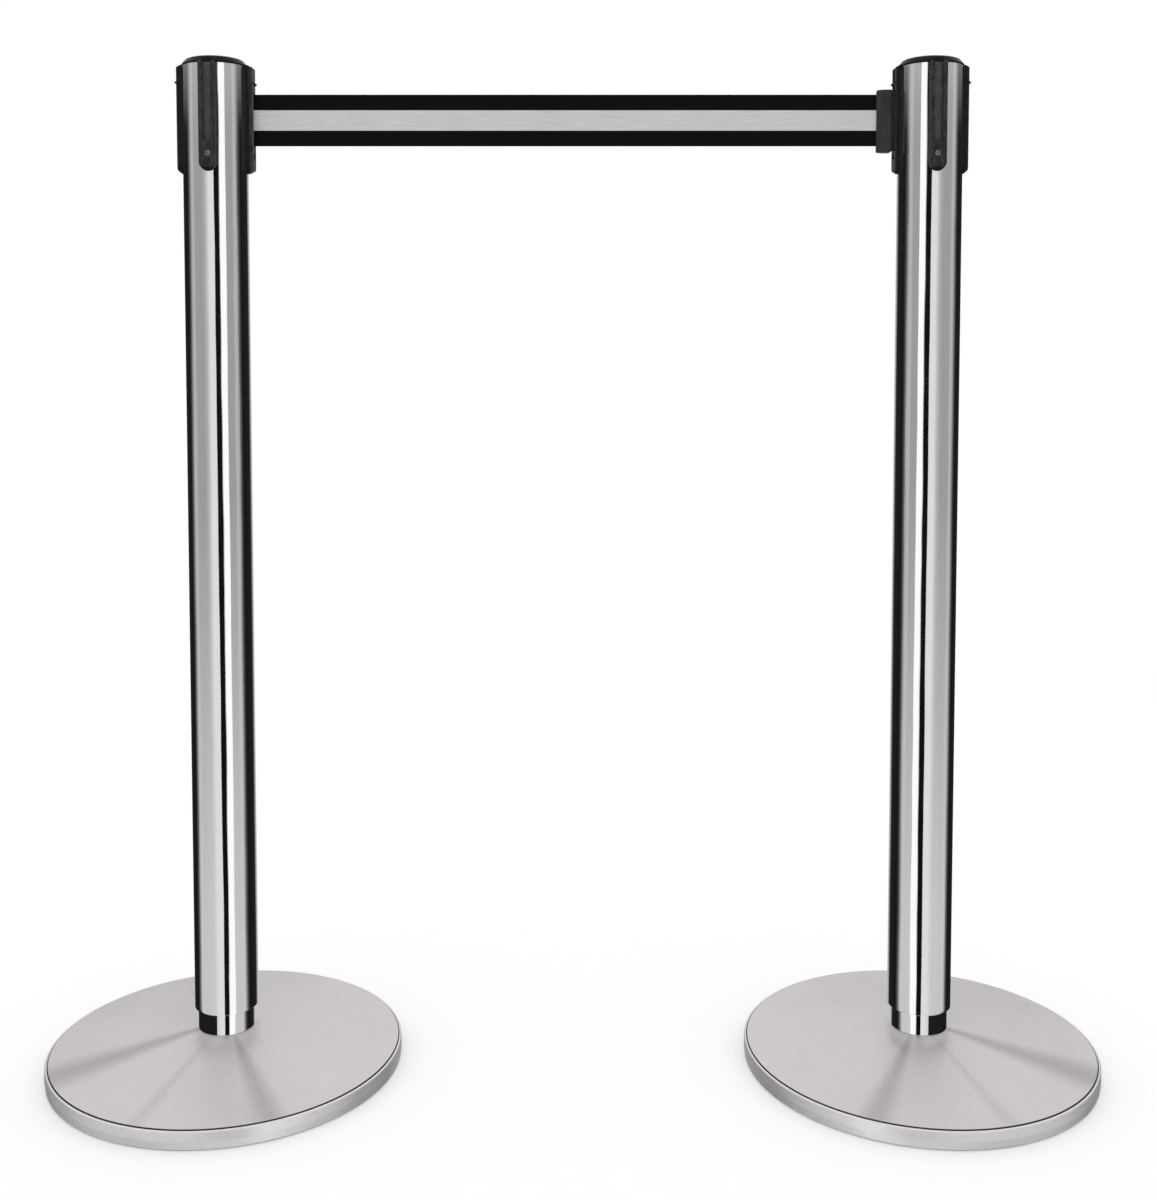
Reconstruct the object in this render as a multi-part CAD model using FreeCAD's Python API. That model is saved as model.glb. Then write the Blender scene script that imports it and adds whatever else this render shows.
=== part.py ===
"""Pair of retractable belt stanchions joined by one belt, in millimetres, +Z up.

The origin is on the floor, midway between the two posts. +X runs from the left post to the right
post. Every stanchion is first made in its own frame, with its post on the Z axis and its belt outlet
facing +X, and is then turned and moved to its place.
"""
import FreeCAD
import Part
import math
import os

Vector = FreeCAD.Vector

# Driving dimensions
POST_SPACING = 710.0        # between the two posts' axes
TOTAL_HEIGHT = 1016.0       # 40 in
BASE_RADIUS = 178.0         # 14 in base
TUBE_RADIUS = 31.75         # 2.5 in post
TUBE_WALL = 1.2
BELT_WIDTH = 50.8           # 2 in webbing
BELT_THICKNESS = 0.5
BELT_MIDDLE_Z = 956.0
BELT_LENGTH = 2000.0

# Base
PAD_THICKNESS = 2.0
PAD_RADIUS = 173.0
PAD_HOLE_RADIUS = 45.0
RIM_BOTTOM_Z = 1.0
RIM_TOP_Z = 18.0
RIM_CORNER = 2.0
COVER_SHEET = 1.0
SEAM_WIDTH = 0.9
SEAM_DEPTH = 0.7
CONE_TOP_RADIUS = 34.0
CONE_TOP_Z = 37.5
COVER_HOLE_RADIUS = 20.0
WEIGHT_RADIUS = 172.0
WEIGHT_HUB_RADIUS = 30.0
WEIGHT_GAP = 1.0
COUNTERBORE_RADIUS = 21.0
COUNTERBORE_TOP_Z = 14.5
RECESS_INNER_RADIUS = 48.0   # the casting is hollowed underneath between hub and rim
RECESS_OUTER_RADIUS = 146.0
CASTING_THICKNESS = 10.0

# Post
COLLAR_RADIUS = 28.3
COLLAR_BORE_RADIUS = 22.0
TUBE_BOTTOM_Z = 59.5
TUBE_TOP_Z = 1008.0
TUBE_INNER_RADIUS = TUBE_RADIUS - TUBE_WALL
PLUG_HEIGHT = 24.0
BOLT_RADIUS = 6.0
BOLT_HOLE_RADIUS = 6.6
BOLT_HEAD_ACROSS_FLATS = 19.0
BOLT_HEAD_HEIGHT = 7.5
BOLT_TOP_Z = 80.0
HEXAGON_SIDES = 6
WASHER_RADIUS = 16.0
WASHER_THICKNESS = 2.5
SLIP = 0.25                 # gap round an inner piece inside the tube

CUT = 1.0                   # how far a cutting shape runs past the material, or a joined one into it

# Head: rails that stand through slots in the tube, and the core that carries them
RAIL_HALF_WIDTH = 8.2
RAIL_BOTTOM_Z = 903.0
RAIL_TOP_Z = 1005.0
RAIL_CHAMFER = 3.5
OUTLET_EAR_BACK = 32.6      # the rails' tops stand up in front of the cap's edge
RECEIVER_EAR_BACK = 31.9    # beside the cap's notch
EAR_FOOT_BACK = 30.6        # under the cap's edge an ear fills the slot's open end
EAR_FOOT_Z = 1007.8
EAR_TOP_Z = 1009.5
EAR_LIP_Z = 1007.0
RECEIVER_FACE = 36.35       # distance of a receiver's face from the post's axis
OUTLET_FACE = 38.35
FLANGE_BACK = 24.5
FLANGE_FRONT = 27.5
FLANGE_HALF_WIDTH = 12.0
FLANGE_BOTTOM_Z = 899.0
FLANGE_TOP_Z = 996.0
RAIL_GAP = 0.15
TEE_BACK = 31.0
TEE_FRONT = 34.55
TEE_HALF_WIDTH = 5.8
MOUTH_HALF_WIDTH = 4.0
TEE_BOTTOM_Z = 931.5
NUB_Z = 992.0
NUB_HALF_HEIGHT = 2.2
NUB_STANDS_OUT = 2.3
NUB_INNER = 4.4
NUB_OUTER = 7.6
NUB_ROOT = 0.5              # how far a nub is sunk in the rail's face
SCREW_Z = 920.0
SCREW_RADIUS = 1.45
SCREW_HEAD_RADIUS = 3.0
SCREW_HEAD_BACK = 33.0
SCREW_HEAD_THICKNESS = 1.8
SCREW_TIP = 22.6
SCREW_HEAD_GAP = 0.3
CROSS_HALF_WIDTH = 0.4      # the screw's cross recess
CROSS_REACH = 2.0
SLIT_HALF_WIDTH = 1.6
SLIT_MARGIN_Z = 2.0
THROAT_X = 30.0             # where the belt turns straight out through the slit
WINDOW_REACH = 14.5         # how far the core's belt window reaches to the roll's side
WINDOW_DEPTH = 8.0
FUNNEL_REACH = 8.0
FUNNEL_END_X = 33.0

CORE_PLATE_BOTTOM_Z = 888.0
CORE_PLATE_TOP_Z = 896.0
CORE_TOP_Z = 997.0
LID_TOP_Z = 1002.0
CORE_RADIUS = TUBE_INNER_RADIUS - SLIP
SLEEVE_OUTER_RADIUS = 24.3
SLEEVE_INNER_RADIUS = 22.3
COLUMN_HALF_WIDTH = 5.5
LID_SCREW_CIRCLE = 27.4
LID_SCREW_HEAD_RADIUS = 2.5
LID_SCREW_HEAD_HEIGHT = 2.0
LID_SCREW_LENGTH = 14.0
LID_HOLE_GAP = 0.15

CAP_RADIUS = 32.3
CAP_EDGE = 7.0
CAP_PLATE_BOTTOM_Z = 1011.0
CAP_WALL = 2.0               # of the spigot inside the tube
CAP_SPIGOT_BOTTOM_Z = 1005.5
CAP_BOSS_RADIUS = 8.0
CAP_NOTCH_HALF_WIDTH = 6.0
CAP_NOTCH_BACK = 30.9
INLAY_RADIUS = 22.0
INLAY_DEPTH = 0.8
INLAY_GAP = 0.15

# Belt cassette
SHAFT_RADIUS = 2.5
BUSH_BORE_RADIUS = 2.56
SPOOL_BORE_RADIUS = 4.0
ARBOR_RADIUS = 5.2
DRUM_RADIUS = 6.5
SPOOL_FLANGE_RADIUS = 21.0
SPOOL_FLANGE_THICKNESS = 2.5
SPOOL_HUB_RADIUS = 8.0
SPOOL_BOTTOM_Z = 898.6
SPOOL_TOP_Z = 991.0
FLANGE_GAP_Z = 4.0          # from the belt's edge to the spool's flange
BUSH_LENGTH = 9.5
CASE_RADIUS = 22.0
CASE_WALL = 1.4
CASE_FLOOR = 2.0
CASE_BORE_GAP = 0.1
CASE_TOP_Z = 922.0
COVER_THICKNESS = 1.5
ARBOR_GAP = 1.0
SPRING_THICKNESS = 0.5
SPRING_PITCH = 1.5
SPRING_INNER_RADIUS = 7.2
SPRING_HALF_TURNS = 16
SPRING_SIDE_GAP = 1.0       # above and below the spring, inside its case
WOUND_THICKNESS = 0.55      # one layer of wound belt
ROLL_GAP = 0.4              # from the roll to the belt's free stretch beside it

# Belt clip, measured outward from the axis of the post it docks in
CLIP_TEE_BACK = 31.5
CLIP_TEE_FRONT = 34.2
CLIP_TEE_HALF_WIDTH = 5.3
CLIP_NECK_HALF_WIDTH = 3.6
CLIP_TEE_BOTTOM_Z = 932.2
CLIP_TEE_TOP_Z = 984.0
CLIP_NECK_FACE = 36.8
CLIP_BODY_BACK = 39.1
CLIP_SHOULDER = 47.0
CLIP_END = 53.5
CLIP_HALF_THICKNESS = 6.0
CLIP_END_HALF_THICKNESS = 3.0
CLIP_BOTTOM_Z = 924.2
CLIP_TOP_Z = 985.7
CLIP_CORNER = 1.6
CLIP_NECK_INSET_Z = 2.0
CLIP_POCKET_BACK = 43.0
CLIP_POCKET_HALF_WIDTH = 0.4
CLIP_POCKET_MARGIN_Z = 0.5
WEB_END_GAP = 0.3           # from the belt's end to the back of the clip's pocket
RIVET_RADIUS = 2.0
RIVET_HEAD_RADIUS = 2.6
RIVET_HEAD_HEIGHT = 0.3
RIVET_X = 46.0
RIVET_SPACING_Z = 18.0
RIVET_BITE = 0.1            # how far the shank reaches into the heads
RIVET_HOLE_GAP = 0.1
PARK_GAP = 0.5
WEB_JOIN_FROM_CLIP = 170.0  # length of the belt's last stretch, beside the clip

BELT_BOTTOM_Z = BELT_MIDDLE_Z - BELT_WIDTH / 2
BELT_TOP_Z = BELT_MIDDLE_Z + BELT_WIDTH / 2
QUARTER_TURNS = (0, 90, 180, 270)
COLUMN_ANGLES = (45, 135, 225, 315)


def ring(outer, inner, low, high):
    """An upright tube round the Z axis."""
    solid = Part.makeCylinder(outer, high - low, Vector(0, 0, low))
    return solid.cut(Part.makeCylinder(inner, high - low, Vector(0, 0, low)))


def disc(radius, low, high):
    return Part.makeCylinder(radius, high - low, Vector(0, 0, low))


def block(x_low, x_high, y_low, y_high, z_low, z_high):
    corner = Vector(x_low, y_low, z_low)
    return Part.makeBox(x_high - x_low, y_high - y_low, z_high - z_low, corner)


def bar(radius, x_low, x_high, z):
    """A round bar along X."""
    return Part.makeCylinder(radius, x_high - x_low, Vector(x_low, 0, z), Vector(1, 0, 0))


def turned(solid, angle):
    copy = solid.copy()
    copy.rotate(Vector(0, 0, 0), Vector(0, 0, 1), angle)
    return copy


def revolved(edges):
    """A solid of revolution from a closed outline in the XZ plane."""
    return Part.Face(Part.Wire(edges)).revolve(Vector(0, 0, 0), Vector(0, 0, 1), 360)


def line(start, end):
    """An edge in the XZ plane between two (radius, height) points."""
    return Part.makeLine(Vector(start[0], 0, start[1]), Vector(end[0], 0, end[1]))


def arc(start, middle, end):
    points = [Vector(p[0], 0, p[1]) for p in (start, middle, end)]
    return Part.Arc(*points).toShape()


def outline(points):
    """Straight edges through the points and back to the first."""
    return [line(a, b) for a, b in zip(points, points[1:] + points[:1])]


def corner_arc(centre, radius):
    """A quarter arc from the outward side of a corner to its top."""
    middle = radius * math.sqrt(0.5)
    return arc(
        (centre[0] + radius, centre[1]),
        (centre[0] + middle, centre[1] + middle),
        (centre[0], centre[1] + radius),
    )


def spiral(inner_radius, thickness, pitch, half_turns, low, high):
    """A coiled strip of half circles whose centres alternate between two points."""
    inner, outer = [], []
    for k in range(half_turns):
        radius = inner_radius + pitch / 2 * k
        centre = Vector(0 if k % 2 == 0 else pitch / 2, 0, low)
        side = 1 if k % 2 == 0 else -1
        for edges, r in ((inner, radius), (outer, radius + thickness)):
            start = centre + Vector(side * r, 0, 0)
            top = centre + Vector(0, side * r, 0)
            end = centre - Vector(side * r, 0, 0)
            edges.append(Part.Arc(start, top, end).toShape())
    first = Part.makeLine(inner[0].firstVertex().Point, outer[0].firstVertex().Point)
    last = Part.makeLine(inner[-1].lastVertex().Point, outer[-1].lastVertex().Point)
    face = Part.Face(Part.Wire(Part.__sortEdges__(inner + outer + [first, last])))
    return face.extrude(Vector(0, 0, high - low))


def strip(points, thickness, low, high):
    """An upright ribbon that follows the plan points, with mitred turns."""
    sides = ([], [])
    for k, point in enumerate(points):
        before = points[max(k - 1, 0)]
        after = points[min(k + 1, len(points) - 1)]
        runs = [(b[0] - a[0], b[1] - a[1]) for a, b in ((before, point), (point, after)) if a != b]
        angles = [math.atan2(run[1], run[0]) for run in runs]
        mean = sum(angles) / len(angles)
        reach = thickness / 2 / math.cos(mean - angles[0])
        for side, sign in zip(sides, (1, -1)):
            x = point[0] - sign * reach * math.sin(mean)
            y = point[1] + sign * reach * math.cos(mean)
            side.append(Vector(x, y, low))
    loop = sides[0] + sides[1][::-1]
    face = Part.Face(Part.makePolygon(loop + loop[:1]))
    return face.extrude(Vector(0, 0, high - low))


def one_solid(shape):
    return shape.removeSplitter().Solids[0]


# ---------------------------------------------------------------- base and post

def floor_pad():
    return ring(PAD_RADIUS, PAD_HOLE_RADIUS, 0, PAD_THICKNESS)


def base_weight():
    """The cast weight, with a bored hub and a counterbore for the tie bolt's head."""
    inner_land_z = CONE_TOP_Z - COVER_SHEET
    slope = (inner_land_z - RIM_TOP_Z + RIM_CORNER) / (BASE_RADIUS - COVER_SHEET - CONE_TOP_RADIUS)
    shoulder_z = inner_land_z - WEIGHT_GAP
    rim_z = shoulder_z - slope * (WEIGHT_RADIUS - CONE_TOP_RADIUS)
    recess_outer_z = shoulder_z - slope * (RECESS_OUTER_RADIUS - CONE_TOP_RADIUS) - CASTING_THICKNESS
    recess_inner_z = shoulder_z - slope * (RECESS_INNER_RADIUS - CONE_TOP_RADIUS) - CASTING_THICKNESS
    return revolved(outline([
        (COUNTERBORE_RADIUS, PAD_THICKNESS),
        (RECESS_INNER_RADIUS, PAD_THICKNESS),
        (RECESS_INNER_RADIUS, recess_inner_z),
        (RECESS_OUTER_RADIUS, recess_outer_z),
        (RECESS_OUTER_RADIUS, PAD_THICKNESS),
        (WEIGHT_RADIUS, PAD_THICKNESS),
        (WEIGHT_RADIUS, rim_z),
        (CONE_TOP_RADIUS, shoulder_z),
        (WEIGHT_HUB_RADIUS, shoulder_z),
        (WEIGHT_HUB_RADIUS, inner_land_z),
        (BOLT_HOLE_RADIUS, inner_land_z),
        (BOLT_HOLE_RADIUS, COUNTERBORE_TOP_Z),
        (COUNTERBORE_RADIUS, COUNTERBORE_TOP_Z),
    ]))


def base_cover():
    """The spun steel cover: an upright rim with a rounded edge, a seam, then a shallow cone."""
    corner = (BASE_RADIUS - RIM_CORNER, RIM_TOP_Z - RIM_CORNER)
    seam_outer = corner[0] - SEAM_WIDTH / 2
    seam_inner = seam_outer - SEAM_WIDTH
    inside = BASE_RADIUS - COVER_SHEET
    inside_top_z = RIM_TOP_Z - RIM_CORNER
    edges = [
        line((inside, RIM_BOTTOM_Z), (BASE_RADIUS, RIM_BOTTOM_Z)),
        line((BASE_RADIUS, RIM_BOTTOM_Z), (BASE_RADIUS, corner[1])),
        corner_arc(corner, RIM_CORNER),
        line((corner[0], RIM_TOP_Z), (seam_outer, RIM_TOP_Z)),
        line((seam_outer, RIM_TOP_Z), (seam_outer, RIM_TOP_Z - SEAM_DEPTH)),
        line((seam_outer, RIM_TOP_Z - SEAM_DEPTH), (seam_inner, RIM_TOP_Z - SEAM_DEPTH)),
        line((seam_inner, RIM_TOP_Z - SEAM_DEPTH), (seam_inner, RIM_TOP_Z)),
        line((seam_inner, RIM_TOP_Z), (CONE_TOP_RADIUS, CONE_TOP_Z)),
        line((CONE_TOP_RADIUS, CONE_TOP_Z), (COVER_HOLE_RADIUS, CONE_TOP_Z)),
        line((COVER_HOLE_RADIUS, CONE_TOP_Z), (COVER_HOLE_RADIUS, CONE_TOP_Z - COVER_SHEET)),
        line((COVER_HOLE_RADIUS, CONE_TOP_Z - COVER_SHEET), (CONE_TOP_RADIUS, CONE_TOP_Z - COVER_SHEET)),
        line((CONE_TOP_RADIUS, CONE_TOP_Z - COVER_SHEET), (inside, inside_top_z)),
        line((inside, inside_top_z), (inside, RIM_BOTTOM_Z)),
    ]
    return revolved(edges)


def neck_collar():
    return ring(COLLAR_RADIUS, COLLAR_BORE_RADIUS, CONE_TOP_Z, TUBE_BOTTOM_Z)


def tie_bolt():
    """The hexagon bolt that pulls the post down on the base."""
    head_bottom_z = COUNTERBORE_TOP_Z - WASHER_THICKNESS - BOLT_HEAD_HEIGHT
    corner_radius = BOLT_HEAD_ACROSS_FLATS / math.sqrt(3)
    turn = 2 * math.pi / HEXAGON_SIDES
    corners = [
        Vector(corner_radius * math.cos(turn * k), corner_radius * math.sin(turn * k), head_bottom_z)
        for k in range(HEXAGON_SIDES + 1)
    ]
    head = Part.Face(Part.makePolygon(corners)).extrude(Vector(0, 0, BOLT_HEAD_HEIGHT))
    return one_solid(head.fuse(disc(BOLT_RADIUS, head_bottom_z + CUT, BOLT_TOP_Z)))


def tie_washer():
    bottom_z = COUNTERBORE_TOP_Z - WASHER_THICKNESS
    return ring(WASHER_RADIUS, BOLT_HOLE_RADIUS, bottom_z, COUNTERBORE_TOP_Z)


def post_plug():
    return ring(TUBE_INNER_RADIUS, BOLT_RADIUS, TUBE_BOTTOM_Z, TUBE_BOTTOM_Z + PLUG_HEIGHT)


def rail_block(half_width, bottom_z, top_z, back, front):
    """A block through the tube's wall, seen from outside as a strip with a round lower end."""
    shoulder_z = bottom_z + half_width
    left = Vector(back, -half_width, shoulder_z)
    right = Vector(back, half_width, shoulder_z)
    top_left = Vector(back, -half_width, top_z)
    top_right = Vector(back, half_width, top_z)
    edges = [
        Part.Arc(left, Vector(back, 0, bottom_z), right).toShape(),
        Part.makeLine(right, top_right),
        Part.makeLine(top_right, top_left),
        Part.makeLine(top_left, left),
    ]
    return Part.Face(Part.Wire(edges)).extrude(Vector(front - back, 0, 0))


def post_tube():
    """The polished tube, with a slot open at the top for each of the four rails."""
    tube = ring(TUBE_RADIUS, TUBE_INNER_RADIUS, TUBE_BOTTOM_Z, TUBE_TOP_Z)
    slot = rail_block(
        RAIL_HALF_WIDTH + RAIL_GAP, RAIL_BOTTOM_Z - RAIL_GAP, TUBE_TOP_Z + CUT, FLANGE_BACK, OUTLET_FACE
    )
    return one_solid(tube.cut([turned(slot, angle) for angle in QUARTER_TURNS]))


# ---------------------------------------------------------------- head

def rail(face, ear_back):
    """The outer shape that receivers and outlet share: inner flange, rail, ear, chamfered foot, nubs."""
    solid = rail_block(RAIL_HALF_WIDTH, RAIL_BOTTOM_Z, RAIL_TOP_Z, FLANGE_BACK, face)
    flange = block(
        FLANGE_BACK, FLANGE_FRONT, -FLANGE_HALF_WIDTH, FLANGE_HALF_WIDTH, FLANGE_BOTTOM_Z, FLANGE_TOP_Z
    )
    profile = [
        Vector(EAR_FOOT_BACK, -RAIL_HALF_WIDTH, RAIL_TOP_Z - CUT),
        Vector(face, -RAIL_HALF_WIDTH, RAIL_TOP_Z - CUT),
        Vector(face, -RAIL_HALF_WIDTH, EAR_LIP_Z),
        Vector(ear_back, -RAIL_HALF_WIDTH, EAR_TOP_Z),
        Vector(ear_back, -RAIL_HALF_WIDTH, EAR_FOOT_Z),
        Vector(EAR_FOOT_BACK, -RAIL_HALF_WIDTH, EAR_FOOT_Z),
    ]
    ear = Part.Face(Part.makePolygon(profile + profile[:1])).extrude(Vector(0, 2 * RAIL_HALF_WIDTH, 0))
    solid = solid.fuse([flange, ear])
    foot = [
        Vector(face + CUT, -FLANGE_HALF_WIDTH, RAIL_BOTTOM_Z - CUT),
        Vector(face + CUT, -FLANGE_HALF_WIDTH, RAIL_BOTTOM_Z + RAIL_CHAMFER + CUT),
        Vector(TUBE_RADIUS + SLIP, -FLANGE_HALF_WIDTH, RAIL_BOTTOM_Z - CUT),
    ]
    wedge = Part.Face(Part.makePolygon(foot + foot[:1])).extrude(Vector(0, 2 * FLANGE_HALF_WIDTH, 0))
    solid = solid.cut(wedge)
    tip = face + NUB_STANDS_OUT
    for low, high in ((-NUB_OUTER, -NUB_INNER), (NUB_INNER, NUB_OUTER)):
        tooth = [
            Vector(face - NUB_ROOT, low, NUB_Z - NUB_HALF_HEIGHT),
            Vector(tip, low, NUB_Z),
            Vector(face - NUB_ROOT, low, NUB_Z + NUB_HALF_HEIGHT),
        ]
        nub = Part.Face(Part.makePolygon(tooth + tooth[:1])).extrude(Vector(0, high - low, 0))
        solid = solid.fuse(nub)
    hole = bar(SCREW_RADIUS, FLANGE_BACK - CUT, face + CUT, SCREW_Z)
    pocket = bar(SCREW_HEAD_RADIUS + SCREW_HEAD_GAP, SCREW_HEAD_BACK, face + CUT, SCREW_Z)
    return solid.cut([hole, pocket])


def receiver():
    """A rail with a T-slot, open at the top, that takes a belt clip's tongue from above."""
    top_z = EAR_TOP_Z + CUT
    tee = block(TEE_BACK, TEE_FRONT, -TEE_HALF_WIDTH, TEE_HALF_WIDTH, TEE_BOTTOM_Z, top_z)
    mouth = block(
        TEE_BACK, RECEIVER_FACE + CUT, -MOUTH_HALF_WIDTH, MOUTH_HALF_WIDTH, TEE_BOTTOM_Z, top_z
    )
    return one_solid(rail(RECEIVER_FACE, RECEIVER_EAR_BACK).cut([tee, mouth]))


def belt_outlet():
    """A rail with an upright slit, funnelled inside, that the belt runs out through."""
    low, high = BELT_BOTTOM_Z - SLIT_MARGIN_Z, BELT_TOP_Z + SLIT_MARGIN_Z
    back = FLANGE_BACK - CUT
    slit = block(back, OUTLET_FACE + CUT, -SLIT_HALF_WIDTH, SLIT_HALF_WIDTH, low, high)
    plan = [
        Vector(back, -SLIT_HALF_WIDTH, low),
        Vector(FUNNEL_END_X, -SLIT_HALF_WIDTH, low),
        Vector(FUNNEL_END_X, SLIT_HALF_WIDTH, low),
        Vector(back, FUNNEL_REACH, low),
    ]
    funnel = Part.Face(Part.makePolygon(plan + plan[:1])).extrude(Vector(0, 0, high - low))
    return one_solid(rail(OUTLET_FACE, OUTLET_EAR_BACK).cut([slit, funnel]))


def receiver_screws():
    screw = bar(SCREW_RADIUS, SCREW_TIP, SCREW_HEAD_BACK, SCREW_Z)
    head_face = SCREW_HEAD_BACK + SCREW_HEAD_THICKNESS
    head = bar(SCREW_HEAD_RADIUS, SCREW_HEAD_BACK, head_face, SCREW_Z)
    recess = block(
        head_face - CUT, head_face + CUT, -CROSS_HALF_WIDTH, CROSS_HALF_WIDTH,
        SCREW_Z - CROSS_REACH, SCREW_Z + CROSS_REACH
    )
    cross = recess.copy()
    cross.rotate(Vector(0, 0, SCREW_Z), Vector(1, 0, 0), 90)
    screw = one_solid(screw.fuse(head).cut([recess, cross]))
    return Part.makeCompound([turned(screw, angle) for angle in QUARTER_TURNS])


def lid_screw_points():
    return [
        Vector(
            LID_SCREW_CIRCLE * math.cos(math.radians(angle)),
            LID_SCREW_CIRCLE * math.sin(math.radians(angle)),
            0,
        )
        for angle in COLUMN_ANGLES
    ]


def head_core():
    """The moulded body in the tube's top: a floor plate, a sleeve round the spool, four columns."""
    plate = disc(CORE_RADIUS, CORE_PLATE_BOTTOM_Z, CORE_PLATE_TOP_Z)
    sleeve = ring(SLEEVE_OUTER_RADIUS, SLEEVE_INNER_RADIUS, CORE_PLATE_TOP_Z - CUT, CORE_TOP_Z)
    wall = ring(CORE_RADIUS, SLEEVE_OUTER_RADIUS - CUT, CORE_PLATE_TOP_Z - CUT, CORE_TOP_Z)
    column = wall.common(block(
        SLEEVE_INNER_RADIUS, CORE_RADIUS + CUT, -COLUMN_HALF_WIDTH, COLUMN_HALF_WIDTH,
        CORE_PLATE_TOP_Z - CUT, CORE_TOP_Z
    ))
    columns = [turned(column, angle) for angle in COLUMN_ANGLES]
    core = plate.fuse([sleeve] + columns)
    window = block(
        SLEEVE_INNER_RADIUS - WINDOW_DEPTH, FLANGE_BACK, -SLIT_HALF_WIDTH, WINDOW_REACH,
        BELT_BOTTOM_Z - SLIT_MARGIN_Z, BELT_TOP_Z + SLIT_MARGIN_Z
    )
    shaft_hole = disc(SHAFT_RADIUS, CORE_PLATE_BOTTOM_Z - CUT, CORE_PLATE_TOP_Z + CUT)
    screw_length = LID_SCREW_LENGTH - (LID_TOP_Z - CORE_TOP_Z)
    screw_tip = Vector(0, 0, CORE_TOP_Z - screw_length)
    lid_holes = [
        Part.makeCylinder(SCREW_RADIUS, screw_length + CUT, point + screw_tip)
        for point in lid_screw_points()
    ]
    hole = bar(SCREW_RADIUS, SLEEVE_INNER_RADIUS - CUT, FLANGE_BACK, SCREW_Z)
    rail_holes = [turned(hole, angle) for angle in QUARTER_TURNS]
    return one_solid(core.cut([window, shaft_hole] + lid_holes + rail_holes))


def core_lid():
    """The plate that closes the cassette, notched where the rails stand past it."""
    lid = ring(CORE_RADIUS, SHAFT_RADIUS, CORE_TOP_Z, LID_TOP_Z)
    notch = block(
        FLANGE_BACK - RAIL_GAP, CORE_RADIUS + CUT,
        -RAIL_HALF_WIDTH - RAIL_GAP, RAIL_HALF_WIDTH + RAIL_GAP,
        CORE_TOP_Z - CUT, LID_TOP_Z + CUT
    )
    notches = [turned(notch, angle) for angle in QUARTER_TURNS]
    holes = [
        Part.makeCylinder(SCREW_RADIUS + LID_HOLE_GAP, LID_TOP_Z, point + Vector(0, 0, CORE_TOP_Z - CUT))
        for point in lid_screw_points()
    ]
    return one_solid(lid.cut(notches + holes))


def core_screws():
    screws = []
    for point in lid_screw_points():
        foot = point + Vector(0, 0, LID_TOP_Z - LID_SCREW_LENGTH)
        shank = Part.makeCylinder(SCREW_RADIUS, LID_SCREW_LENGTH, foot)
        top = point + Vector(0, 0, LID_TOP_Z)
        head = Part.makeCylinder(LID_SCREW_HEAD_RADIUS, LID_SCREW_HEAD_HEIGHT, top)
        screws.append(one_solid(shank.fuse(head)))
    return Part.makeCompound(screws)


def top_cap(notch_angles):
    """The domed cap, hollow underneath, notched over each receiver to let a clip's tongue past."""
    corner = (CAP_RADIUS - CAP_EDGE, TOTAL_HEIGHT - CAP_EDGE)
    spigot = TUBE_INNER_RADIUS - SLIP
    inside = spigot - CAP_WALL
    recess = INLAY_RADIUS + INLAY_GAP
    inlay_z = TOTAL_HEIGHT - INLAY_DEPTH
    edges = [
        line((0, LID_TOP_Z), (CAP_BOSS_RADIUS, LID_TOP_Z)),
        line((CAP_BOSS_RADIUS, LID_TOP_Z), (CAP_BOSS_RADIUS, CAP_PLATE_BOTTOM_Z)),
        line((CAP_BOSS_RADIUS, CAP_PLATE_BOTTOM_Z), (inside, CAP_PLATE_BOTTOM_Z)),
        line((inside, CAP_PLATE_BOTTOM_Z), (inside, CAP_SPIGOT_BOTTOM_Z)),
        line((inside, CAP_SPIGOT_BOTTOM_Z), (spigot, CAP_SPIGOT_BOTTOM_Z)),
        line((spigot, CAP_SPIGOT_BOTTOM_Z), (spigot, TUBE_TOP_Z)),
        line((spigot, TUBE_TOP_Z), (CAP_RADIUS, TUBE_TOP_Z)),
        line((CAP_RADIUS, TUBE_TOP_Z), (CAP_RADIUS, corner[1])),
        corner_arc(corner, CAP_EDGE),
        line((corner[0], TOTAL_HEIGHT), (recess, TOTAL_HEIGHT)),
        line((recess, TOTAL_HEIGHT), (recess, inlay_z)),
        line((recess, inlay_z), (0, inlay_z)),
        line((0, inlay_z), (0, LID_TOP_Z)),
    ]
    notch = block(
        CAP_NOTCH_BACK, CAP_RADIUS + CUT, -CAP_NOTCH_HALF_WIDTH, CAP_NOTCH_HALF_WIDTH,
        TUBE_TOP_Z - CUT, TOTAL_HEIGHT + CUT
    )
    return one_solid(revolved(edges).cut([turned(notch, angle) for angle in notch_angles]))


def cap_inlay():
    return disc(INLAY_RADIUS, TOTAL_HEIGHT - INLAY_DEPTH, TOTAL_HEIGHT)


# ---------------------------------------------------------------- belt cassette

def spool():
    """The drum with its two flanges, and the arbor that reaches down into the spring case."""
    lower_z = BELT_BOTTOM_Z - FLANGE_GAP_Z
    upper_z = BELT_TOP_Z + FLANGE_GAP_Z
    return revolved(outline([
        (SPOOL_BORE_RADIUS, SPOOL_BOTTOM_Z),
        (ARBOR_RADIUS, SPOOL_BOTTOM_Z),
        (ARBOR_RADIUS, lower_z - SPOOL_FLANGE_THICKNESS),
        (SPOOL_FLANGE_RADIUS, lower_z - SPOOL_FLANGE_THICKNESS),
        (SPOOL_FLANGE_RADIUS, lower_z),
        (DRUM_RADIUS, lower_z),
        (DRUM_RADIUS, upper_z),
        (SPOOL_FLANGE_RADIUS, upper_z),
        (SPOOL_FLANGE_RADIUS, upper_z + SPOOL_FLANGE_THICKNESS),
        (SPOOL_HUB_RADIUS, upper_z + SPOOL_FLANGE_THICKNESS),
        (SPOOL_HUB_RADIUS, SPOOL_TOP_Z),
        (SPOOL_BORE_RADIUS, SPOOL_TOP_Z),
    ]))


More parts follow.
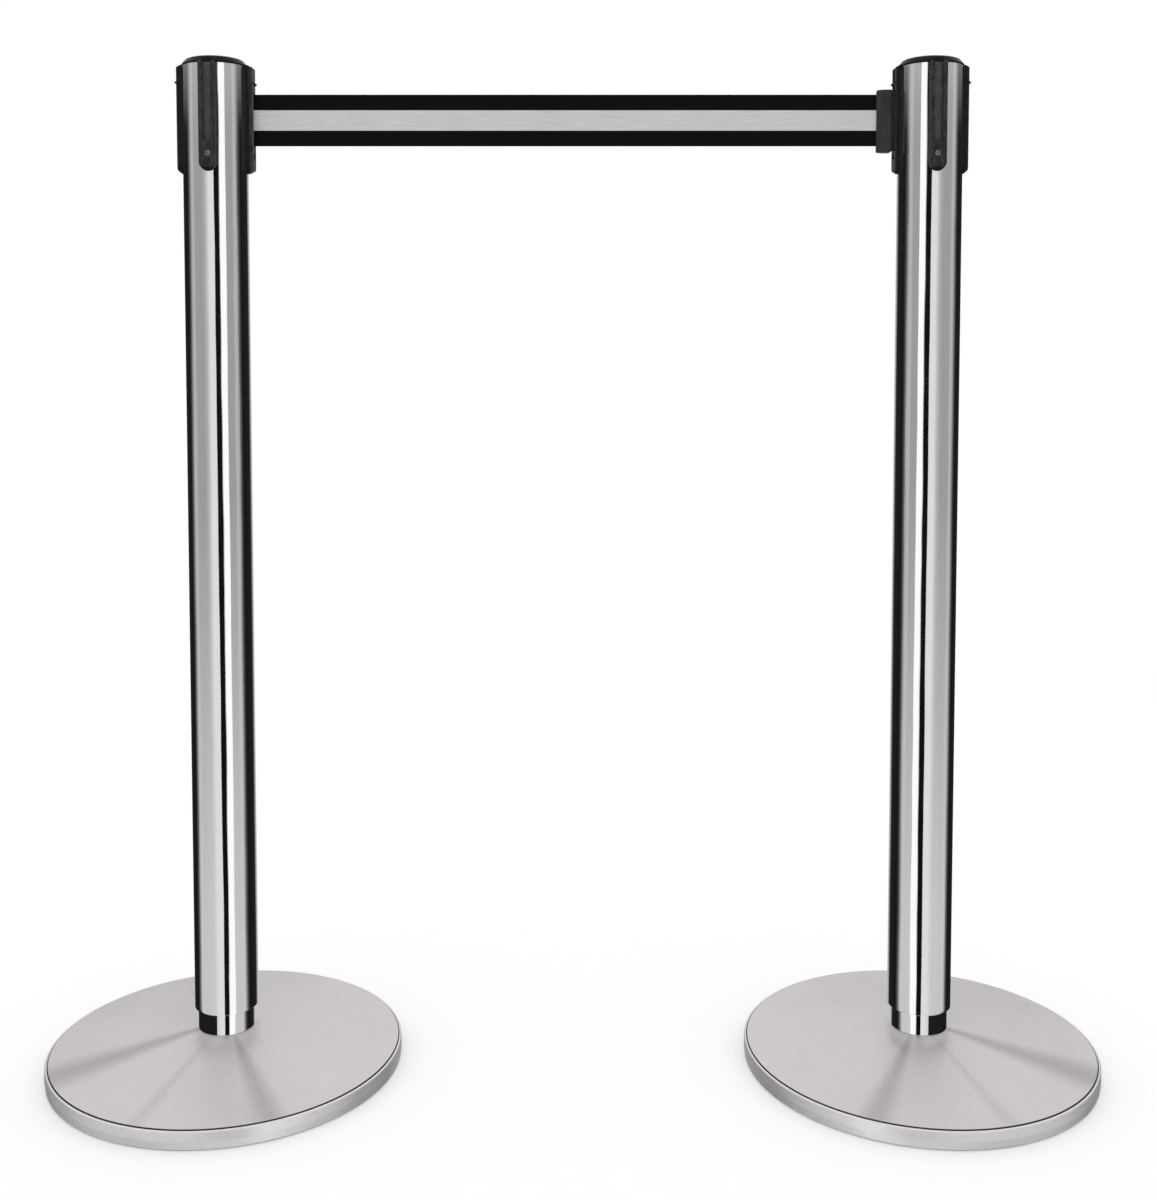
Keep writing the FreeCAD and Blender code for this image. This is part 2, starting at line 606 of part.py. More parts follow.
def spool_bushes():
    lower = ring(SPOOL_BORE_RADIUS, BUSH_BORE_RADIUS, SPOOL_BOTTOM_Z, SPOOL_BOTTOM_Z + BUSH_LENGTH)
    upper = ring(SPOOL_BORE_RADIUS, BUSH_BORE_RADIUS, SPOOL_TOP_Z - BUSH_LENGTH, SPOOL_TOP_Z)
    return Part.makeCompound([lower, upper])


def spool_shaft():
    return disc(SHAFT_RADIUS, CORE_PLATE_BOTTOM_Z, LID_TOP_Z)


def spring_case():
    cup = ring(CASE_RADIUS, SHAFT_RADIUS + CASE_BORE_GAP, CORE_PLATE_TOP_Z, CASE_TOP_Z)
    return cup.cut(disc(CASE_RADIUS - CASE_WALL, CORE_PLATE_TOP_Z + CASE_FLOOR, CASE_TOP_Z + CUT))


def spring_cover():
    bottom_z = CASE_TOP_Z - COVER_THICKNESS
    return ring(CASE_RADIUS - CASE_WALL, ARBOR_RADIUS + ARBOR_GAP, bottom_z, CASE_TOP_Z)


def power_spring():
    low = CORE_PLATE_TOP_Z + CASE_FLOOR + SPRING_SIDE_GAP
    high = CASE_TOP_Z - COVER_THICKNESS - SPRING_SIDE_GAP
    return spiral(SPRING_INNER_RADIUS, SPRING_THICKNESS, SPRING_PITCH, SPRING_HALF_TURNS, low, high)


def roll_radius(length_out):
    """The outer radius of the belt still on the drum with this length drawn out."""
    wound_area = (BELT_LENGTH - length_out) * WOUND_THICKNESS
    return math.sqrt(DRUM_RADIUS ** 2 + wound_area / math.pi)


def belt_roll(length_out):
    return ring(roll_radius(length_out), DRUM_RADIUS, BELT_BOTTOM_Z, BELT_TOP_Z)


def belt_lead(length_out):
    """Plan points from the roll, where the belt leaves it tangentially, to the outlet's throat."""
    radius = roll_radius(length_out) + ROLL_GAP + BELT_THICKNESS / 2
    angle = math.acos(radius / THROAT_X)
    return [(radius * math.cos(angle), radius * math.sin(angle)), (THROAT_X, 0)]


# ---------------------------------------------------------------- belt and clip

def rivet_heights():
    return [BELT_MIDDLE_Z + k * RIVET_SPACING_Z for k in (-1, 0, 1)]


def rivet_bar(radius, reach, z):
    """A bar across the clip at a rivet's place."""
    return Part.makeCylinder(radius, 2 * reach, Vector(RIVET_X, -reach, z), Vector(0, 1, 0))


def clip_solid():
    """The whole clip: a T-shaped tongue, a thin neck, and a body that tapers to the belt."""
    tee = block(
        CLIP_TEE_BACK, CLIP_TEE_FRONT, -CLIP_TEE_HALF_WIDTH, CLIP_TEE_HALF_WIDTH,
        CLIP_TEE_BOTTOM_Z, CLIP_TEE_TOP_Z
    )
    tongue = block(
        CLIP_TEE_BACK + CUT, CLIP_BODY_BACK + CUT, -CLIP_NECK_HALF_WIDTH, CLIP_NECK_HALF_WIDTH,
        CLIP_TEE_BOTTOM_Z, CLIP_TEE_TOP_Z
    )
    neck = block(
        CLIP_NECK_FACE, CLIP_BODY_BACK + CUT, -CLIP_NECK_HALF_WIDTH, CLIP_NECK_HALF_WIDTH,
        CLIP_BOTTOM_Z + CLIP_NECK_INSET_Z, CLIP_TOP_Z
    )
    plan = [
        (CLIP_BODY_BACK, -CLIP_HALF_THICKNESS),
        (CLIP_SHOULDER, -CLIP_HALF_THICKNESS),
        (CLIP_END, -CLIP_END_HALF_THICKNESS),
        (CLIP_END, CLIP_END_HALF_THICKNESS),
        (CLIP_SHOULDER, CLIP_HALF_THICKNESS),
        (CLIP_BODY_BACK, CLIP_HALF_THICKNESS),
    ]
    corners = [Vector(x, y, CLIP_BOTTOM_Z) for x, y in plan]
    body = Part.Face(Part.makePolygon(corners + corners[:1])).extrude(
        Vector(0, 0, CLIP_TOP_Z - CLIP_BOTTOM_Z)
    )
    body = body.makeFillet(CLIP_CORNER, body.Edges)
    return body.fuse([tee, tongue, neck])


def clip_half(side):
    """Half of the clip, on the side of positive or negative Y, with its share of the belt pocket."""
    reach = CLIP_HALF_THICKNESS + CUT
    low, high = (0, reach) if side > 0 else (-reach, 0)
    half = clip_solid().common(
        block(CLIP_TEE_BACK - CUT, CLIP_END + CUT, low, high, CLIP_BOTTOM_Z - CUT, CLIP_TOP_Z + CUT)
    )
    pocket = block(
        CLIP_POCKET_BACK, CLIP_END + CUT, -CLIP_POCKET_HALF_WIDTH, CLIP_POCKET_HALF_WIDTH,
        BELT_BOTTOM_Z - CLIP_POCKET_MARGIN_Z, BELT_TOP_Z + CLIP_POCKET_MARGIN_Z
    )
    holes = [rivet_bar(RIVET_RADIUS, reach, z) for z in rivet_heights()]
    return one_solid(half.cut([pocket] + holes))


def clip_rivets():
    rivets = []
    for z in rivet_heights():
        shank = rivet_bar(RIVET_RADIUS, CLIP_HALF_THICKNESS + RIVET_BITE, z)
        start = Vector(RIVET_X, CLIP_HALF_THICKNESS, z)
        head = Part.makeCylinder(RIVET_HEAD_RADIUS, RIVET_HEAD_HEIGHT, start, Vector(0, 1, 0))
        tail = head.copy()
        tail.rotate(Vector(RIVET_X, 0, z), Vector(0, 0, 1), 180)
        rivets.append(one_solid(shank.fuse([head, tail])))
    return Part.makeCompound(rivets)


def web_holes():
    """What the rivets' holes take out of the belt, in the clip's frame."""
    return [rivet_bar(RIVET_RADIUS + RIVET_HOLE_GAP, CLIP_HALF_THICKNESS, z) for z in rivet_heights()]


def belt_strip(points):
    return strip(points, BELT_THICKNESS, BELT_BOTTOM_Z, BELT_TOP_Z)


# ---------------------------------------------------------------- assembly

def placed(shape, angle, x):
    copy = turned(shape, angle)
    copy.translate(Vector(x, 0, 0))
    return copy


def stanchion(receivers, length_out):
    """One stanchion's nodes in its own frame. receivers gives the name at each angle."""
    nodes = {
        "floor_pad": floor_pad(),
        "base_weight": base_weight(),
        "base_cover": base_cover(),
        "neck_collar": neck_collar(),
        "tie_bolt": tie_bolt(),
        "tie_washer": tie_washer(),
        "post_plug": post_plug(),
        "post_tube": post_tube(),
        "head_core": head_core(),
        "core_lid": core_lid(),
        "core_screws": core_screws(),
        "receiver_screws": receiver_screws(),
        "belt_outlet": belt_outlet(),
        "top_cap": top_cap(list(receivers)),
        "cap_inlay": cap_inlay(),
        "spool": spool(),
        "spool_bushes": spool_bushes(),
        "spool_shaft": spool_shaft(),
        "spring_case": spring_case(),
        "spring_cover": spring_cover(),
        "power_spring": power_spring(),
        "belt_roll": belt_roll(length_out),
    }
    for angle, name in receivers.items():
        nodes[name] = turned(receiver(), angle)
    return nodes


def stretched_belt():
    """The left post's belt, drawn out and docked in the right post's inner receiver."""
    left, right = -POST_SPACING / 2, POST_SPACING / 2
    join = POST_SPACING - CLIP_END - WEB_JOIN_FROM_CLIP
    post_web = belt_strip(belt_lead(join) + [(join, 0)])
    clip_run = [(CLIP_POCKET_BACK + WEB_END_GAP, 0), (CLIP_END + WEB_JOIN_FROM_CLIP, 0)]
    clip_web = one_solid(belt_strip(clip_run).cut(web_holes()))
    return {
        "left_post_web": placed(post_web, 0, left),
        "left_clip_web": placed(clip_web, 180, right),
        "left_clip_front": placed(clip_half(1), 180, right),
        "left_clip_back": placed(clip_half(-1), 180, right),
        "left_clip_rivets": placed(clip_rivets(), 180, right),
    }


def parked_belt(length_out):
    """The right post's own belt, wound in, with its clip parked at the outlet."""
    park = OUTLET_FACE + PARK_GAP + CLIP_END
    path = belt_lead(length_out) + [(park - CLIP_POCKET_BACK - WEB_END_GAP, 0)]
    web = one_solid(belt_strip(path).cut([placed(hole, 180, park) for hole in web_holes()]))
    return {
        "web": web,
        "clip_outer": placed(clip_half(1), 180, park),
        "clip_inner": placed(clip_half(-1), 180, park),
        "clip_rivets": placed(clip_rivets(), 180, park),
    }


def model():
    out_left = POST_SPACING - CLIP_POCKET_BACK - THROAT_X
    out_right = OUTLET_FACE + PARK_GAP + CLIP_END - CLIP_POCKET_BACK - THROAT_X
    left_receivers = {90: "back_receiver", 180: "outer_receiver", 270: "front_receiver"}
    right_receivers = {90: "inner_receiver", 180: "front_receiver", 270: "outer_receiver"}
    left = stanchion(left_receivers, out_left)
    right = stanchion(right_receivers, out_right)
    right.update(parked_belt(out_right))
    nodes = {"left_" + name: placed(shape, 0, -POST_SPACING / 2) for name, shape in left.items()}
    nodes.update({"right_" + name: placed(shape, 90, POST_SPACING / 2) for name, shape in right.items()})
    nodes.update(stretched_belt())
    return nodes


os.makedirs("parts", exist_ok=True)
for node, shape in model().items():
    shape.exportStep("parts/" + node + ".step")
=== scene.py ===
import math

import bmesh
import bpy
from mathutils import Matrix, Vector


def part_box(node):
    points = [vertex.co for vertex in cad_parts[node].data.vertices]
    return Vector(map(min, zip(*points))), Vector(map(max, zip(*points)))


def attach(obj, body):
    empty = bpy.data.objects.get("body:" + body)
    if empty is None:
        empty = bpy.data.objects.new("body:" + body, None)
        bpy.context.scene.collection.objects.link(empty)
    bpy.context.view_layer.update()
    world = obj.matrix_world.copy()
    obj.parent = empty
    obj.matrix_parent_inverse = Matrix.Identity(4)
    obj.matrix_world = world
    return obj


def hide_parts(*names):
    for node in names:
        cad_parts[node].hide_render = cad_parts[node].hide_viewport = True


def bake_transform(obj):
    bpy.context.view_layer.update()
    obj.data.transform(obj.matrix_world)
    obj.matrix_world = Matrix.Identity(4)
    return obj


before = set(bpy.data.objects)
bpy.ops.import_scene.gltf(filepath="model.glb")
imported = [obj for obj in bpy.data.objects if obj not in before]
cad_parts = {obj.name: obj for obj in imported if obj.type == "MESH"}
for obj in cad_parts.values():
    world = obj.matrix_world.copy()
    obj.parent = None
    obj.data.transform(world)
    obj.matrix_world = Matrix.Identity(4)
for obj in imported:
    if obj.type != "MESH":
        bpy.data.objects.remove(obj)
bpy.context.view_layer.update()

MM = 0.001
SIDES = ("left", "right")
QUARTER_TURNS = [math.radians(angle) for angle in (0, 90, 180, 270)]
SEGMENTS = 288
COVER_SEGMENTS = 384
SHARP = math.radians(32)
WELD = 0.002 * MM

# Post and head, in metres
SLOT_HALF_WIDTH = 8.35 * MM
SLOT_FOOT_Z = 902.85 * MM
TUBE_WALL = 1.2 * MM
TUBE_TOP = 1008.0 * MM
COLLAR_BORE = 22.0 * MM
SLOT_BACK = 31.6 * MM       # the back wall of a receiver's T-slot lies inside this radius
FACE_RADIUS = 36.3 * MM     # the rails' faces lie outside this radius
CAP_RADIUS = 32.3 * MM
CAP_SPIGOT = 30.3 * MM
CAP_SPIGOT_FOOT = 1005.5 * MM
CAP_WALL = 2.0 * MM
CAP_BOSS = 8.0 * MM
CAP_PLATE = 1011.0 * MM
CAP_RECESS = 22.15 * MM
CAP_RECESS_DEPTH = 0.8 * MM
NOTCH_BACK = 30.9 * MM
NOTCH_HALF_WIDTH = 6.0 * MM
OUTLET_TURN = {"left": 0, "right": math.radians(90)}

# Base
COVER_WIDTH = 356.0 * MM
COVER_SHEET = 1.0 * MM
RIM_TOP = 18.0 * MM
RIM_SHOULDER = 2.45 * MM    # from the rim's outside to the groove
SEAM_RADIUS = 175.1 * MM    # middle of the groove between rim and cone
SEAM_WIDTH = 0.9 * MM
SEAM_DEPTH = 0.7 * MM
CONE_LIP = 1.0 * MM         # how far the cone's edge stands over the rim
CONE_TOP_RADIUS = 34.0 * MM
COVER_HOLE = 20.0 * MM
PAD_HOLE = 45.0 * MM
PAD_RIBS = 21
PAD_RIB_DEPTH = 0.8 * MM

# Widths of the softened edges
IRON_EDGE = 0.8 * MM
MOULDED_EDGE = 0.45 * MM
TUBE_EDGE = 0.35 * MM
BOLT_EDGE = 0.3 * MM
CLIP_EDGE = 0.2 * MM
SCREW_EDGE = 0.15 * MM
RIVET_EDGE = 0.1 * MM

# Belt
BELT_LOW = 930.6 * MM
BELT_HIGH = 981.4 * MM
BELT_MIDDLE = (BELT_LOW + BELT_HIGH) / 2
BELT_HALF_THICKNESS = 0.25 * MM
THROAT = 30.0 * MM
STRIPE_HALF_WIDTH = 10.0 * MM
STRIPE_FADE = 0.12 * MM
WARP_PITCH = 0.62 * MM
WEFT_PITCH = 0.95 * MM
BELT_STEP = 4.0 * MM        # between the belt's cross-sections
PARKED_BELT_STEP = 0.4 * MM
THROAT_BEND = 3.0 * MM
ROLL_GAP = 0.4 * MM
# Half of the selvedge's bead, as (mm from the belt's edge, share of its half thickness)
SELVEDGE = [(0, 0), (0.12, math.sqrt(0.3)), (0.4, 1.15), (0.9, 1.3), (1.6, 1.1), (2.4, 1.0)]

# Dark arcs round each neck, hidden under the cover's cone. Their corners are degrees outward from -Y
FLAG_RADIUS = 100.0 * MM
FLAG_LOW = -30.0 * MM
FLAG_HIGH = 27.5 * MM
FLAG_CORNERS = (22, 36, 50, 64, 78, 92)

# Floor, which fades into the room between two distances from the middle. All in metres
FLOOR_RADIUS = 9.0
FLOOR_FADE_START = 1.2
FLOOR_FADE_END = 3.2
FLOOR_GAP = 0.2 * MM        # keeps it clear of the pads

# Camera, in metres in front of the row and above the floor
CAMERA_DISTANCE = 1.5
CAMERA_HEIGHT = 0.73
CAMERA_DIP = math.radians(3.2)

# Painted darker reflections, laid as fans on each base's cone, as (degrees anticlockwise from +X, half
# spread, depth)
PAINTED_REFLECTION_FANS = {
    "left": [(207, 14, 1.0), (254, 5, 0.35), (296, 8, 0.9)],
    "right": [(333, 14, 1.0), (286, 5, 0.35), (244, 8, 0.9)],
}


def post_axis(side):
    """The point on the floor under one post."""
    low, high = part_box(side + "_post_tube")
    return Vector(((low.x + high.x) / 2, (low.y + high.y) / 2, 0))


# ------------------------------------------------------------------ materials

def grey(value, warmth=0.0):
    return (value * (1 + warmth), value, value * (1 - warmth), 1.0)


def add_node(tree, kind, inputs, output=0, **attributes):
    """Adds a shader node, sets or links its inputs, and returns one of its outputs."""
    node = tree.nodes.new("ShaderNode" + kind)
    for name, value in attributes.items():
        setattr(node, name, value)
    for socket, value in inputs.items():
        if isinstance(value, bpy.types.NodeSocket):
            tree.links.new(value, node.inputs[socket])
        else:
            node.inputs[socket].default_value = value
    return node.outputs[output]


class Surface:
    """A node material round one Principled shader, with short ways to add nodes to it."""

    def __init__(self, name, **settings):
        self.material = bpy.data.materials.new(name)
        self.material.use_nodes = True
        self.tree = self.material.node_tree
        self.shader = self.tree.nodes["Principled BSDF"]
        for socket, value in settings.items():
            self.shader.inputs[socket.replace("_", " ")].default_value = value

    def node(self, kind, inputs, output=0, **attributes):
        return add_node(self.tree, kind, inputs, output, **attributes)

    def axis(self, vector, index):
        """One of a vector's three parts."""
        return self.node("SeparateXYZ", {0: vector}, index)

    def set(self, socket, value):
        self.tree.links.new(value, self.shader.inputs[socket])

    def coordinates(self, kind="Object"):
        return self.node("TexCoord", {}, kind)

    def scaled(self, vector, scale):
        return self.node("Mapping", {"Vector": vector, "Scale": scale})

    def noise(self, vector, scale, detail=3.0, roughness=0.5):
        """Noise whose features are about 1 / scale across, in the vector's own unit."""
        inputs = {"Vector": vector, "Scale": scale, "Detail": detail, "Roughness": roughness}
        return self.node("TexNoise", inputs, "Fac")

    def math(self, operation, a, b=0.0):
        return self.node("Math", {0: a, 1: b}, operation=operation)

    def range(self, value, low, high, new_low, new_high, smooth=False):
        """Maps low to high onto new_low to new_high, and stops there."""
        kind = "SMOOTHSTEP" if smooth else "LINEAR"
        inputs = {"Value": value, 1: low, 2: high, 3: new_low, 4: new_high}
        return self.node("MapRange", inputs, interpolation_type=kind)

    def spread(self, noise, new_low, new_high):
        """Spreads the values that noise mostly has over a new range."""
        return self.range(noise, 0.3, 0.7, new_low, new_high)

    def mix(self, share, a, b):
        return self.node("Mix", {0: share, 6: a, 7: b}, 2, data_type="RGBA")

    def bump(self, height, distance, strength=1.0, below=None):
        inputs = {"Strength": strength, "Distance": distance, "Height": height}
        if below is not None:
            inputs["Normal"] = below
        return self.node("Bump", inputs)


def polished_steel(name, colour, haze, streak):
    """Mirror polished steel: fine lengthwise lines, a little uneven haze and a long slight wave."""
    s = Surface(name, Metallic=1.0)
    place = s.coordinates()
    lines = s.noise(s.scaled(place, (1.0, 1.0, 0.012)), 2600, detail=2.0, roughness=0.6)
    patches = s.noise(s.scaled(place, (1.0, 1.0, 0.3)), 60)
    s.set("Roughness", s.spread(patches, haze, haze * 1.8))
    s.set("Base Color", s.mix(s.spread(lines, 0, 1), grey(colour * (1 - streak)), grey(colour)))
    wave = s.noise(s.scaled(place, (1.0, 1.0, 0.2)), 30, detail=2.0)
    s.set("Normal", s.bump(wave, 0.5 * MM))
    return s.material


def brushed_cover(side):
    """Stainless sheet, spun and brushed round the centre, with painted light: three painted darker
    reflections spread as fans on its cone, a painted brighter rim and a painted shadow line in the groove.
    """
    s = Surface(side + "_brushed_cover", Metallic=0.72, Anisotropic=0.45)
    half = s.node("VectorMath", {0: s.coordinates("Generated"), 1: (0.5, 0.5, 0.0)}, operation="SUBTRACT")
    flat = s.scaled(half, (1.0, 1.0, 0.0))
    radius = s.node("VectorMath", {0: flat}, "Value", operation="LENGTH")
    turn = s.node("Math", {0: s.axis(flat, 1), 1: s.axis(flat, 0)}, operation="ARCTAN2")
    rings = s.node("TexNoise", {"W": radius, "Scale": 900.0, "Detail": 4.0}, "Fac", noise_dimensions="1D")
    broken = s.node("CombineXYZ", {0: s.math("MULTIPLY", radius, 700.0), 1: s.math("MULTIPLY", turn, 7.0)})
    scratches = s.noise(broken, 1.0, detail=4.0, roughness=0.65)
    grain = s.mix(0.5, rings, scratches)
    mottle = s.noise(s.coordinates(), 340, detail=4.0, roughness=0.6)
    clouds = s.noise(s.coordinates(), 16, detail=4.0)
    s.set("Roughness", s.spread(clouds, 0.36, 0.46))
    tone = s.range(s.mix(0.3, s.mix(0.55, grain, mottle), clouds), 0.36, 0.64, 0.0, 1.0)
    brushed = s.mix(tone, (0.655, 0.63, 0.625, 1.0), (0.76, 0.73, 0.725, 1.0))
    # painted highlight: the rim gets a lighter copy of the cone's steel, for the brighter light it
    # reflects
    bright = s.mix(tone, (0.75, 0.73, 0.725, 1.0), (0.86, 0.84, 0.835, 1.0))
    # painted reflections: darker copies of the steel, laid as fans over the cone
    painted_dark_reflection = s.mix(tone, (0.46, 0.44, 0.435, 1.0), (0.54, 0.52, 0.515, 1.0))
    seam_radius = SEAM_RADIUS / COVER_WIDTH
    fans = 0.0
    for degrees, spread, depth in PAINTED_REFLECTION_FANS[side]:
        away = s.math("SUBTRACT", turn, math.radians(degrees))
        away = s.node("Math", {0: away, 1: math.pi, 2: -math.pi}, operation="WRAP")
        fan = s.range(s.math("ABSOLUTE", away), 0.0, math.radians(spread), depth, 0.0, smooth=True)
        fans = s.math("MAXIMUM", fans, fan)
    on_cone = s.math("LESS_THAN", radius, seam_radius)
    steel = s.mix(on_cone, bright, s.mix(fans, brushed, painted_dark_reflection))
    # painted shadow: a dark line drawn on the groove between rim and cone
    off_seam = s.math("ABSOLUTE", s.math("SUBTRACT", radius, seam_radius))
    painted_groove_shadow = s.range(off_seam, 0.47 * MM / COVER_WIDTH, 0.65 * MM / COVER_WIDTH, 1.0, 0.0)
    s.set("Base Color", s.mix(painted_groove_shadow, steel, grey(0.03)))
    s.set("Normal", s.bump(grain, 0.006 * MM))
    s.set("Tangent", s.node("Tangent", {}, direction_type="RADIAL", axis="Z"))
    return s.material


def moulded_plastic(name, colour, roughness, specular, warmth=0.0):
    """Dark moulding with a fine spark texture and slight handling shine."""
    s = Surface(name, Specular_IOR_Level=specular)
    place = s.coordinates()
    spark = s.noise(place, 2600, detail=2.0, roughness=0.6)
    rub = s.noise(place, 90, detail=4.0, roughness=0.6)
    s.set("Roughness", s.range(rub, 0.3, 0.75, roughness * 0.85, roughness * 1.15))
    pale = s.range(rub, 0.35, 0.7, 0, 1)
    s.set("Base Color", s.mix(pale, grey(colour * 0.75, warmth), grey(colour * 1.4, warmth)))
    s.set("Normal", s.bump(spark, 0.02 * MM, strength=0.6))
    return s.material


def head_moulding(side):
    """Black plastic, rubbed grey by clips on the rails' faces, with painted light on the T-slots' back
    walls: a paler grey against the deep slots' shade.
    """
    s = Surface(side + "_head_plastic", Specular_IOR_Level=0.13)
    place = s.coordinates()
    spark = s.noise(place, 2600, detail=2.0, roughness=0.6)
    rub = s.noise(s.scaled(place, (1.0, 1.0, 0.35)), 260, detail=5.0, roughness=0.7)
    from_axis = s.node("VectorMath", {0: place, 1: post_axis(side)}, operation="SUBTRACT")
    reach = s.node("VectorMath", {0: s.scaled(from_axis, (1.0, 1.0, 0.0))}, "Value", operation="LENGTH")
    # the T-slots' back walls, which are given painted light
    on_slot_back = s.range(reach, SLOT_BACK, SLOT_BACK + 0.3 * MM, 1.0, 0.0)
    handled = s.range(reach, FACE_RADIUS - 0.2 * MM, FACE_RADIUS + 0.1 * MM, 0.0, 1.0)
    pale = s.range(rub, 0.35, 0.7, 0, 1)
    black = s.mix(pale, grey(0.0025), grey(0.011))
    # painted light: a paler grey for the slots' back walls, against the shade inside the deep slots
    painted_lit_slot_back = s.mix(pale, grey(0.055, 0.04), grey(0.11, 0.04))
    scuffed = s.mix(s.range(rub, 0.4, 0.65, 0, 1), grey(0.013, 0.03), grey(0.040, 0.03))
    s.set("Base Color", s.mix(on_slot_back, s.mix(handled, black, scuffed), painted_lit_slot_back))
    s.set("Roughness", s.range(rub, 0.3, 0.75, 0.36, 0.5))
    s.set("Normal", s.bump(spark, 0.02 * MM, strength=0.6))
    return s.material


def plain_metal(name, colour, roughness, metallic=1.0):
    """Plated, blued, painted or cast metal, mottled by its finish."""
    s = Surface(name, Metallic=metallic)
    place = s.coordinates()
    mottle = s.noise(place, 220, detail=5.0, roughness=0.6)
    fine = s.noise(place, 1900)
    s.set("Roughness", s.spread(mottle, roughness * 0.8, roughness * 1.2))
    dark = [channel * 0.75 for channel in colour] + [1.0]
    s.set("Base Color", s.mix(mottle, dark, list(colour) + [1.0]))
    s.set("Normal", s.bump(fine, 0.03 * MM, strength=0.5))
    return s.material


def cast_iron():
    """Painted sand casting: a rough skin over shallow lumps."""
    s = Surface("cast_iron", Metallic=0.0, Specular_IOR_Level=0.35)
    place = s.coordinates()
    skin = s.noise(place, 420, detail=6.0, roughness=0.7)
    lumps = s.noise(place, 45)
    s.set("Roughness", s.spread(skin, 0.6, 0.85))
    s.set("Base Color", s.mix(lumps, grey(0.045), grey(0.10, 0.02)))
    shape = s.bump(lumps, 0.6 * MM, strength=0.4)
    s.set("Normal", s.bump(skin, 0.25 * MM, strength=0.8, below=shape))
    return s.material


def rubber():
    """Black rubber with a little dust on it."""
    s = Surface("rubber", Specular_IOR_Level=0.3)
    place = s.coordinates()
    dust = s.noise(place, 130, detail=5.0, roughness=0.65)
    s.set("Roughness", s.spread(dust, 0.7, 0.9))
    s.set("Base Color", s.mix(dust, grey(0.012), grey(0.03, 0.02)))
    s.set("Normal", s.bump(s.noise(place, 1500, detail=2.0), 0.03 * MM, strength=0.6))
    return s.material


def webbing():
    """Woven polyester belt: black, with a silver stripe along its middle. U and V are metres."""
    s = Surface("webbing", Specular_IOR_Level=0.08)
    place = s.coordinates("UV")
    across = s.axis(place, 1)
    warp = s.math("SINE", s.math("MULTIPLY", across, 2 * math.pi / WARP_PITCH))
    weft = s.math("SINE", s.math("MULTIPLY", s.axis(place, 0), 2 * math.pi / WEFT_PITCH))
    weave = s.math("MULTIPLY", warp, weft)
    yarns = s.noise(s.scaled(place, (0.02, 1.0, 1.0)), 1600, detail=2.0, roughness=0.6)
    edge = s.math("ADD", s.math("ABSOLUTE", across), s.math("MULTIPLY", weave, 0.06 * MM))
    inner, outer = STRIPE_HALF_WIDTH - STRIPE_FADE, STRIPE_HALF_WIDTH + STRIPE_FADE
    silver = s.range(edge, inner, outer, 1.0, 0.0, smooth=True)
    bright = s.mix(s.spread(yarns, 0, 1), grey(0.47), grey(0.60))
    black = s.mix(yarns, grey(0.0015), grey(0.0040))
    s.set("Base Color", s.mix(silver, black, bright))
    s.set("Roughness", s.range(silver, 0, 1, 0.72, 0.5))
    ribs = s.math("ADD", s.math("MULTIPLY", weave, 0.5), yarns)
    s.set("Normal", s.bump(ribs, 0.05 * MM, strength=0.7))
    return s.material


tube_steel = polished_steel("polished_tube", 0.80, 0.045, 0.07)
neck_steel = polished_steel("polished_neck", 0.80, 0.03, 0.04)
cover_steel = {side: brushed_cover(side) for side in SIDES}
head_plastic = {side: head_moulding(side) for side in SIDES}
cap_plastic = moulded_plastic("cap_plastic", 0.003, 0.30, 0.12)
clip_plastic = moulded_plastic("clip_plastic", 0.021, 0.48, 0.28, 0.04)
cap_gloss = moulded_plastic("cap_gloss", 0.008, 0.2, 0.45)
inner_plastic = moulded_plastic("inner_plastic", 0.02, 0.5, 0.4)
screw_black = plain_metal("black_screws", (0.21, 0.21, 0.215), 0.32, 0.85)
zinc_steel = plain_metal("zinc_steel", (0.55, 0.56, 0.58), 0.3)
spring_steel = plain_metal("spring_steel", (0.30, 0.31, 0.34), 0.3)
bush_bronze = plain_metal("bush_bronze", (0.55, 0.36, 0.14), 0.4)
iron = cast_iron()
pad_rubber = rubber()
web_cloth = webbing()

NODE_MATERIALS = {
    "floor_pad": pad_rubber,
    "base_weight": iron,
    "base_cover": cover_steel,
    "neck_collar": neck_steel,
    "tie_bolt": zinc_steel,
    "tie_washer": zinc_steel,
    "post_plug": zinc_steel,
    "post_tube": tube_steel,
    "head_core": inner_plastic,
    "core_lid": inner_plastic,
    "core_screws": zinc_steel,
    "receiver_screws": screw_black,
    "receiver": head_plastic,
    "belt_outlet": head_plastic,
    "top_cap": cap_plastic,
    "cap_inlay": cap_gloss,
    "spool": inner_plastic,
    "spool_bushes": bush_bronze,
    "spool_shaft": zinc_steel,
    "spring_case": inner_plastic,
    "spring_cover": inner_plastic,
    "power_spring": spring_steel,
    "belt_roll": web_cloth,
    "clip_rivets": clip_plastic,
    "web": web_cloth,
    "clip_front": clip_plastic,
    "clip_back": clip_plastic,
    "clip_outer": clip_plastic,
    "clip_inner": clip_plastic,
}


def node_material(node):
    """The material of a node's kind, and of its side where the two posts' differ."""
    for suffix, material in NODE_MATERIALS.items():
        if node.endswith("_" + suffix):
            return material[node.split("_")[0]] if isinstance(material, dict) else material
    raise KeyError(node)


def finish_nodes():
    """Every CAD node gets the material of its kind, whether it shows or not."""
    for name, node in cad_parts.items():
        for slot in node.material_slots:
            slot.material = node_material(name)


# ------------------------------------------------------------------ mesh helpers

def new_piece(name, builder, material):
    """Turns a finished bmesh into a smooth-shaded object whose creases stay crisp."""
    mesh = bpy.data.meshes.new(name)
    bmesh.ops.recalc_face_normals(builder, faces=builder.faces)
    builder.to_mesh(mesh)
    builder.free()
    mesh.shade_smooth()
    mesh.set_sharp_from_angle(angle=SHARP)
    mesh.materials.append(material)
    piece = bpy.data.objects.new(name, mesh)
    bpy.context.scene.collection.objects.link(piece)
    return piece


